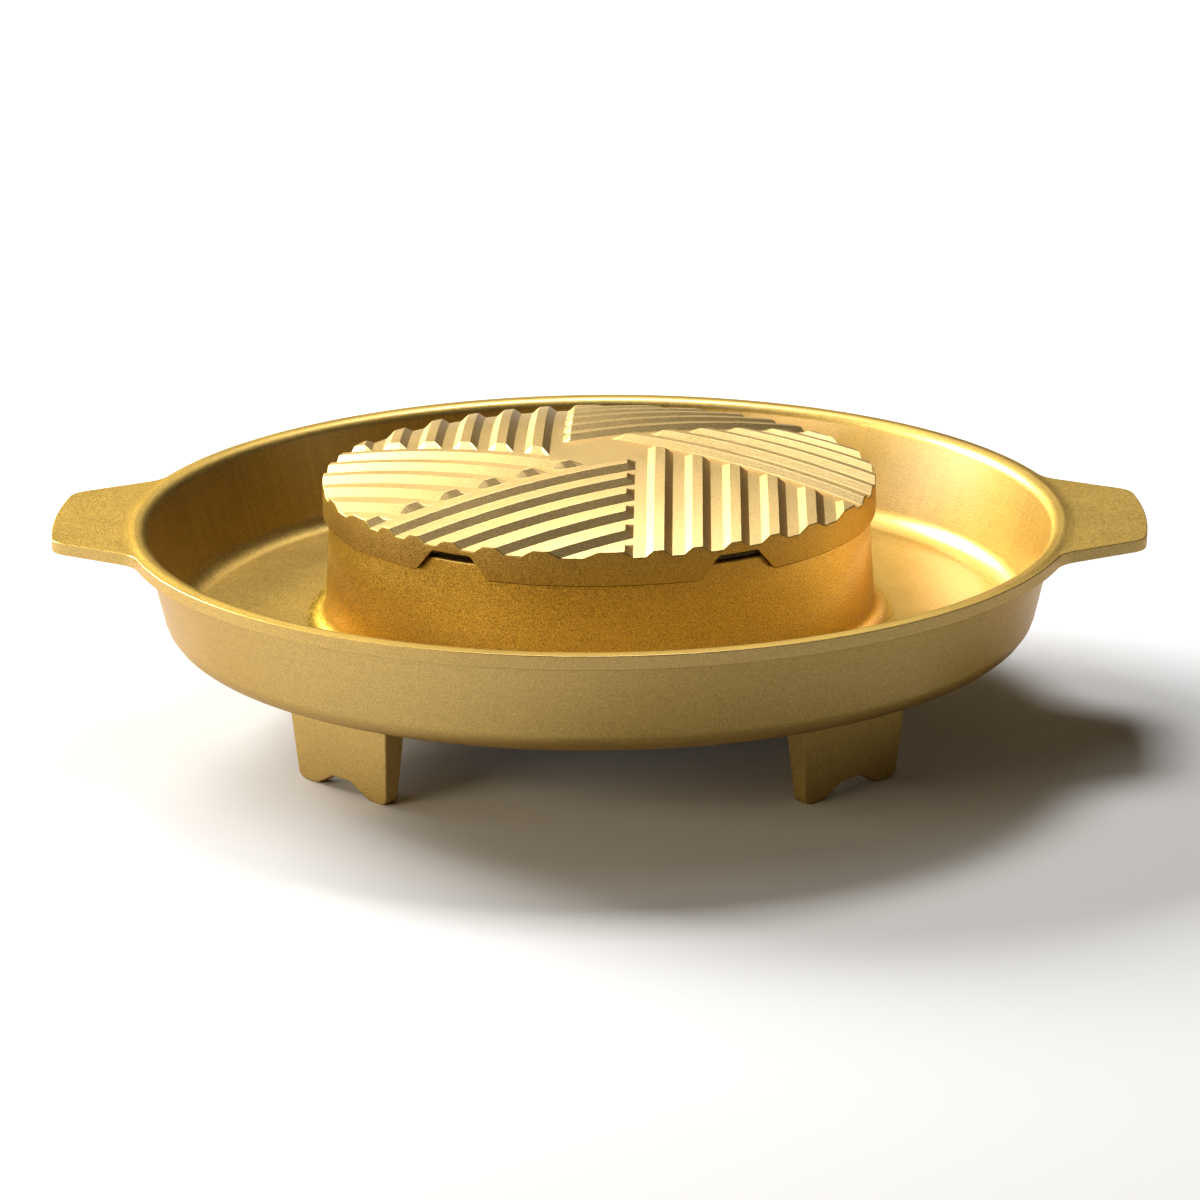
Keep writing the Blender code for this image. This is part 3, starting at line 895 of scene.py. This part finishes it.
# %% Helpers for places
def vector_maths(tree, operation, first, second):
    """A Vector Math node; the second operand is a vector socket, or a number socket for SCALE."""
    node = tree.nodes.new("ShaderNodeVectorMath")
    node.operation = operation
    tree.links.new(first, node.inputs[0])
    tree.links.new(second, node.inputs["Scale" if operation == "SCALE" else 1])
    return node.outputs["Value" if operation == "DOT_PRODUCT" else "Vector"]


def object_place(tree):
    """Position in the object's own space, so that an effect travels with the casting."""
    return tree.nodes.new("ShaderNodeTexCoord").outputs["Object"]


def noise(tree, vector, detail):
    """Fine noise about zero, at the scale that its vector brings."""
    node = tree.nodes.new("ShaderNodeTexNoise")
    node.inputs["Scale"].default_value = 1.0
    node.inputs["Detail"].default_value = detail
    tree.links.new(vector, node.inputs["Vector"])
    return maths(tree, "SUBTRACT", node.outputs["Fac"], 0.5)


def distance_from_axis(tree, place):
    """Distance from the casting's upright axis, and the place's three coordinates."""
    parts = tree.nodes.new("ShaderNodeSeparateXYZ")
    tree.links.new(place, parts.inputs[0])
    x, y, z = parts.outputs
    squares = maths(tree, "ADD", maths(tree, "MULTIPLY", x, x), maths(tree, "MULTIPLY", y, y))
    return maths(tree, "SQRT", squares), x, y, z


def combined(tree, *parts):
    """A vector from two or three number sockets."""
    node = tree.nodes.new("ShaderNodeCombineXYZ")
    for socket, value in zip(node.inputs, parts):
        tree.links.new(value, socket)
    return node.outputs[0]


print("helpers made:", vector_maths.__name__, noise.__name__, distance_from_axis.__name__)

# %% The metal grain
GRAIN_SIZE = 0.0005
GRAIN_CONTRAST = 1.05
GRAIN_DETAIL = 1.5


def make_grain_group():
    """Sand-fine flakes, brighter or darker than the coat between them."""
    inputs = [("Grain Size", GRAIN_SIZE), ("Contrast", GRAIN_CONTRAST)]
    group, given, result = new_group("metal_grain", inputs, "Grain")
    density = maths(group, "DIVIDE", 1.0, given["Grain Size"])
    flakes = noise(group, vector_maths(group, "SCALE", object_place(group), density), GRAIN_DETAIL)
    group.links.new(maths(group, "MULTIPLY", flakes, given["Contrast"]), result["Grain"])
    return group


grain_group = make_grain_group()
print("a grain is", 1000 * GRAIN_SIZE, "mm wide")


# %% The ring with more grain and painted shade
def make_ring_group():
    """One where the distance from the axis lies between two radii; zero elsewhere."""
    group, given, result = new_group("grain_and_shade_ring", [("Ring Start", 0.0), ("Ring End", 0.1)], "Ring")
    radius = distance_from_axis(group, object_place(group))[0]
    past_start = maths(group, "GREATER_THAN", radius, given["Ring Start"])
    before_end = maths(group, "LESS_THAN", radius, given["Ring End"])
    group.links.new(maths(group, "MULTIPLY", past_start, before_end), result["Ring"])
    return group


ring_group = make_ring_group()
print("made", ring_group.name)

# %% The turning strokes
STROKE_WIDTH = 0.0008
STROKE_LENGTH = 0.015
MARK_DETAIL = 2.0


def make_strokes_group():
    """Short strokes along the casting's circles, as a lathe tool and a brush leave them."""
    inputs = [("Stroke Width", STROKE_WIDTH), ("Stroke Length", STROKE_LENGTH), ("Depth", 1.0)]
    group, given, result = new_group("turning_strokes", inputs, "Strokes")
    radius, x, y, z = distance_from_axis(group, object_place(group))
    across = maths(group, "DIVIDE", maths(group, "ADD", radius, z), given["Stroke Width"])
    along_x = maths(group, "DIVIDE", x, given["Stroke Length"])
    along_y = maths(group, "DIVIDE", y, given["Stroke Length"])
    strokes = noise(group, combined(group, along_x, along_y, across), MARK_DETAIL)
    group.links.new(maths(group, "MULTIPLY", strokes, given["Depth"]), result["Strokes"])
    return group


strokes_group = make_strokes_group()
print("a stroke is", 1000 * STROKE_WIDTH, "by", 1000 * STROKE_LENGTH, "mm")

# %% The streaks on the inner wall
STREAK_ANGLE = 0.02


def make_streaks_group():
    """Upright streaks where the surface faces the axis, a degree or two wide."""
    inputs = [("Streak Angle", STREAK_ANGLE), ("Depth", 1.0)]
    group, given, result = new_group("wall_streaks", inputs, "Streaks")
    radius, x, y, z = distance_from_axis(group, object_place(group))
    reach = maths(group, "MULTIPLY", radius, given["Streak Angle"])
    turn = combined(group, maths(group, "DIVIDE", x, reach), maths(group, "DIVIDE", y, reach), z)
    streaks = noise(group, turn, MARK_DETAIL)
    outwards = combined(group, maths(group, "DIVIDE", x, radius), maths(group, "DIVIDE", y, radius))
    normal = group.nodes.new("ShaderNodeNewGeometry").outputs["Normal"]
    inwards = maths(group, "MULTIPLY", vector_maths(group, "DOT_PRODUCT", normal, outwards), -1.0)
    facing = maths(group, "MAXIMUM", inwards, 0.0)
    streaks = maths(group, "MULTIPLY", streaks, facing)
    group.links.new(maths(group, "MULTIPLY", streaks, given["Depth"]), result["Streaks"])
    return group


streaks_group = make_streaks_group()
print("a streak is", round(math.degrees(STREAK_ANGLE), 1), "degrees wide")

# %% The painted shade inside
DOWNWARD = -0.5


def make_painted_shade_group():
    """Painted shade: one inside a cone about the axis, and one on faces that look down; zero elsewhere."""
    inputs = [("Cone Radius", 0.0), ("Cone Draft", 0.0), ("Undersides", 0.0)]
    group, given, result = new_group("painted_shade_inside", inputs, "Inside")
    radius, _, _, z = distance_from_axis(group, object_place(group))
    tapered = maths(group, "ADD", radius, maths(group, "MULTIPLY", z, given["Cone Draft"]))
    within = maths(group, "LESS_THAN", tapered, given["Cone Radius"])
    normal = group.nodes.new("ShaderNodeNewGeometry").outputs["True Normal"]
    parts = group.nodes.new("ShaderNodeSeparateXYZ")
    group.links.new(normal, parts.inputs[0])
    downward = maths(group, "LESS_THAN", parts.outputs[2], DOWNWARD)
    under = maths(group, "MULTIPLY", downward, given["Undersides"])
    group.links.new(maths(group, "MAXIMUM", within, under), result["Inside"])
    return group


painted_shade_group = make_painted_shade_group()
print("made", painted_shade_group.name)

# %% The drift in tone
PATCH_SIZE = 0.03
PATCH_DETAIL = 4.0


def make_drift_group():
    """Slow changes in the thickness of the coat, a few centimetres across."""
    inputs = [("Patch Size", PATCH_SIZE), ("Amount", 1.0)]
    group, given, result = new_group("tone_drift", inputs, "Drift")
    density = maths(group, "DIVIDE", 1.0, given["Patch Size"])
    patches = noise(group, vector_maths(group, "SCALE", object_place(group), density), PATCH_DETAIL)
    group.links.new(maths(group, "MULTIPLY", patches, given["Amount"]), result["Drift"])
    return group


drift_group = make_drift_group()
print("a patch is", 1000 * PATCH_SIZE, "mm wide")

# %% How strongly each effect shows
GRAIN_IN_TONE = 1.2
STROKES_IN_TONE = 0.3
STREAKS_IN_TONE = 0.6
DRIFT_IN_TONE = 0.12
# painted shade: how much darker the colour is painted inside the hub and on the plate's undersides
PAINTED_SHADE_DARKER = 0.8
COAT_SPREAD = 0.48
GRAIN_IN_ROUGHNESS = 0.3
STREAKS_IN_ROUGHNESS = 0.15
RING_IN_ROUGHNESS = -0.06
DRIFT_IN_ROUGHNESS = 0.10
STROKES_IN_RELIEF = 0.4
RELIEF_HEIGHT = 0.00008
EDGE_TINT = (0.6, 0.36, 0.10, 1)
BINDER_IOR = 1.8
BINDER_ROUGHNESS = 0.25
print("the coat's roughness is about", COAT_SPREAD)


# %% Effects in a material
def place_group(tree, group, *values):
    """An effect placed in a material, with this material's own values."""
    node = tree.nodes.new("ShaderNodeGroup")
    node.node_tree = group
    for socket, value in zip(node.inputs, values):
        socket.default_value = value
    return node.outputs[0]


def weighted_sum(tree, start, *terms):
    """Start plus each effect times its weight."""
    total = start
    for effect, weight in terms:
        total = maths(tree, "ADD", maths(tree, "MULTIPLY", effect, weight), total)
    return total


def ring_colour(tree, colour, shade_colour_in_ring, ring, tone):
    """The coat's colour, a deeper painted-shade colour in the ring, made lighter or darker by the tone."""
    shade = tree.nodes.new("ShaderNodeVectorMath")
    shade.operation = "MULTIPLY_ADD"
    tree.links.new(ring, shade.inputs[0])
    shade.inputs[1].default_value = Vector(shade_colour_in_ring) - Vector(colour)
    shade.inputs[2].default_value = colour
    return vector_maths(tree, "SCALE", shade.outputs[0], tone)


print("helpers made:", place_group.__name__, weighted_sum.__name__, ring_colour.__name__)


# %% The coat's material
def coated_metal(name, binder):
    """A metallic material under a clear binder, and the inputs of its shader."""
    material = bpy.data.materials.new(name)
    material.use_nodes = True
    shader = material.node_tree.nodes["Principled BSDF"].inputs
    shader["Metallic"].default_value = 1.0
    shader["Specular Tint"].default_value = EDGE_TINT
    shader["Coat Weight"].default_value = binder
    shader["Coat IOR"].default_value = BINDER_IOR
    shader["Coat Roughness"].default_value = BINDER_ROUGHNESS
    return material, shader


def gold_coat(name, colour, binder, ring_values, marks, shade_values):
    """Satin gold coat, whose tone, roughness and relief carry the grain and the marks of the tools.

    ring_values: the ring's start, end, extra grain and painted-shade colour. marks: depths of the strokes
    and streaks.
    The last argument holds the inputs of the group that paints shade inside the hub and under the plate.
    """
    ring_start, ring_end, grain_in_ring, shade_colour_in_ring = ring_values
    stroke_depth, streak_depth = marks
    material, shader = coated_metal(name, binder)
    tree = material.node_tree
    grain = place_group(tree, grain_group, GRAIN_SIZE, GRAIN_CONTRAST)
    ring = place_group(tree, ring_group, ring_start, ring_end)
    grain = maths(tree, "MULTIPLY", grain, weighted_sum(tree, 1.0, (ring, grain_in_ring)))
    strokes = place_group(tree, strokes_group, STROKE_WIDTH, STROKE_LENGTH, stroke_depth)
    streaks = place_group(tree, streaks_group, STREAK_ANGLE, streak_depth)
    drift = place_group(tree, drift_group, PATCH_SIZE, 1.0)
    inside = place_group(tree, painted_shade_group, *shade_values)

    tone = weighted_sum(tree, 1.0, (grain, GRAIN_IN_TONE), (strokes, STROKES_IN_TONE))
    tone = weighted_sum(tree, tone, (streaks, STREAKS_IN_TONE), (drift, DRIFT_IN_TONE))
    # painted shade: the colour is darkened inside the hub and on faces that look down
    tone = maths(tree, "MULTIPLY", tone, weighted_sum(tree, 1.0, (inside, -PAINTED_SHADE_DARKER)))
    # painted shade: in the ring, on the hub and the skirt, the gold is deeper and darker
    tree.links.new(ring_colour(tree, colour, shade_colour_in_ring, ring, tone), shader["Base Color"])

    rough = weighted_sum(tree, COAT_SPREAD, (grain, GRAIN_IN_ROUGHNESS), (streaks, STREAKS_IN_ROUGHNESS))
    rough = weighted_sum(tree, rough, (ring, RING_IN_ROUGHNESS), (drift, DRIFT_IN_ROUGHNESS))
    tree.links.new(rough, shader["Roughness"])

    bump = tree.nodes.new("ShaderNodeBump")
    bump.inputs["Strength"].default_value = 1.0
    bump.inputs["Distance"].default_value = RELIEF_HEIGHT
    tree.links.new(weighted_sum(tree, grain, (strokes, STROKES_IN_RELIEF)), bump.inputs["Height"])
    tree.links.new(bump.outputs["Normal"], shader["Normal"])
    return material


def dress(piece, material):
    """Gives a piece its only material."""
    piece.data.materials.clear()
    piece.data.materials.append(material)


print("relief of the grain:", 1000 * RELIEF_HEIGHT, "mm")

# %% The pan's own values
PAN_COLOUR = (0.50, 0.336, 0.088)
PAN_BINDER = 0.45
# painted shade: the hub's deeper, darker gold
HUB_SHADE_COLOUR = (0.48, 0.312, 0.052)
HUB_RING_END = 0.112
HUB_EXTRA_GRAIN = 1.05
PAN_RING = (0.0, HUB_RING_END, HUB_EXTRA_GRAIN, HUB_SHADE_COLOUR)
PAN_MARKS = (0.5, 0.45)
HUB_SLOPE = math.tan(HUB_DRAFT)
# painted shade inside the hub: a cone along the middle of the hub's wall
HUB_PAINTED_SHADE = (HUB_TOP_RADIUS - HUB_WALL / 2 + HUB_TOP * HUB_SLOPE, HUB_SLOPE, 0.0)

pan_gold = gold_coat("pan_gold", PAN_COLOUR, PAN_BINDER, PAN_RING, PAN_MARKS, HUB_PAINTED_SHADE)
dress(pan, pan_gold)
print("the pan wears", pan_gold.name)

# %% The plate's own values
# painted highlight: the plate's gold is paler than the pan's, so that its lit top reads cream
PLATE_GOLD_AND_HIGHLIGHT = (0.57, 0.408, 0.172)
PLATE_BINDER = 0.2
# painted shade: the skirt's darker gold under the dome's edge
SKIRT_SHADE_COLOUR = (0.42, 0.285, 0.075)
SKIRT_RING_DEPTH = 0.0002
SKIRT_EXTRA_GRAIN = 0.8
PLATE_RING = (PLATE_RADIUS - SKIRT_RING_DEPTH, 2 * PLATE_RADIUS, SKIRT_EXTRA_GRAIN, SKIRT_SHADE_COLOUR)
PLATE_MARKS = (0.0, 0.0)
# painted shade on the plate's undersides, the faces that look down
PLATE_PAINTED_SHADE = (0.0, 0.0, 1.0)

plate_gold = gold_coat("grill_plate_gold", PLATE_GOLD_AND_HIGHLIGHT, PLATE_BINDER, PLATE_RING, PLATE_MARKS, PLATE_PAINTED_SHADE)
dress(plate, plate_gold)
print("the plate wears", plate_gold.name)

# %% [markdown]
# ## Floor and light
#
# The photograph is a studio shot on white. A plain pale floor does that: it keeps the pan's shadow and
# lights the wall from below. It stays flat. A backdrop that rises behind the pan would mirror itself as a
# pale veil in every face that looks back or sideways, and the photograph shows those faces dark. The
# light comes from a softbox behind on the left, a smaller one above the back, and a long low strip that
# whitens the left wall. A weaker, slightly warm one in front and traces from the right and from above
# keep the near wall from going black.

# %% The floor
FLOOR_REACH = 5.0
PAPER = (0.70, 0.70, 0.70, 1)
PAPER_ROUGHNESS = 0.9

bm = bmesh.new()
corners = [(-1, -1), (1, -1), (1, 1), (-1, 1)]
bm.faces.new([bm.verts.new((x * FLOOR_REACH, y * FLOOR_REACH, 0)) for x, y in corners])
floor_mesh = bpy.data.meshes.new("studio_floor")
bm.to_mesh(floor_mesh)
bm.free()
studio_floor = bpy.data.objects.new("studio_floor", floor_mesh)
bpy.context.scene.collection.objects.link(studio_floor)
paper = bpy.data.materials.new("studio_paper")
paper.use_nodes = True
paper_shader = paper.node_tree.nodes["Principled BSDF"]
paper_shader.inputs["Base Color"].default_value = PAPER
paper_shader.inputs["Roughness"].default_value = PAPER_ROUGHNESS
studio_floor.data.materials.append(paper)
print("floor:", 2 * FLOOR_REACH, "m square")

# %% The lamps
LAMP_DISTANCE = 2.2
# Elevation and azimuth in degrees, width and height in metres, power in watts, colour
LAMPS = {
    "back_left_softbox": (27, 230, 1.1, 0.9, 104.0, (1, 1, 1)),
    "back_top_softbox": (60, 180, 0.7, 0.7, 36.0, (1, 1, 1)),
    "low_left_strip": (6, 258, 1.5, 0.35, 12.0, (1, 1, 1)),
    "front_left_softbox": (18, 305, 1.2, 0.6, 19.5, (1, 0.86, 0.62)),
    "overhead_fill": (78, 270, 0.9, 0.9, 3.5, (1, 1, 1)),
    "right_fill": (20, 84, 0.7, 0.7, 1.5, (1, 0.84, 0.56)),
}


def softbox(name, elevation, azimuth, width, height, power, colour):
    """A rectangular area lamp aimed at the pan. Azimuths run from the front by the right (90)."""
    data = bpy.data.lights.new(name, "AREA")
    data.shape = "RECTANGLE"
    data.size = width
    data.size_y = height
    data.energy = power
    data.color = colour
    lamp = bpy.data.objects.new(name, data)
    bpy.context.scene.collection.objects.link(lamp)
    tilt = math.radians(elevation)
    turn = math.radians(azimuth)
    level = math.cos(tilt)
    way = Vector((level * math.sin(turn), -level * math.cos(turn), math.sin(tilt)))
    lamp.location = Vector((0, 0, RIM_TOP)) + LAMP_DISTANCE * way
    lamp.rotation_euler = way.to_track_quat("Z", "Y").to_euler()


for name, values in LAMPS.items():
    softbox(name, *values)
print("lamps:", sorted(LAMPS))

# %% The dim room
WORLD_STRENGTH = 0.02
world = bpy.data.worlds.new("studio")
world.use_nodes = True
room = world.node_tree.nodes["Background"].inputs
room["Color"].default_value = (1, 1, 1, 1)
room["Strength"].default_value = WORLD_STRENGTH
bpy.context.scene.world = world
bpy.context.scene.view_settings.view_transform = "Standard"
print("room light:", WORLD_STRENGTH)
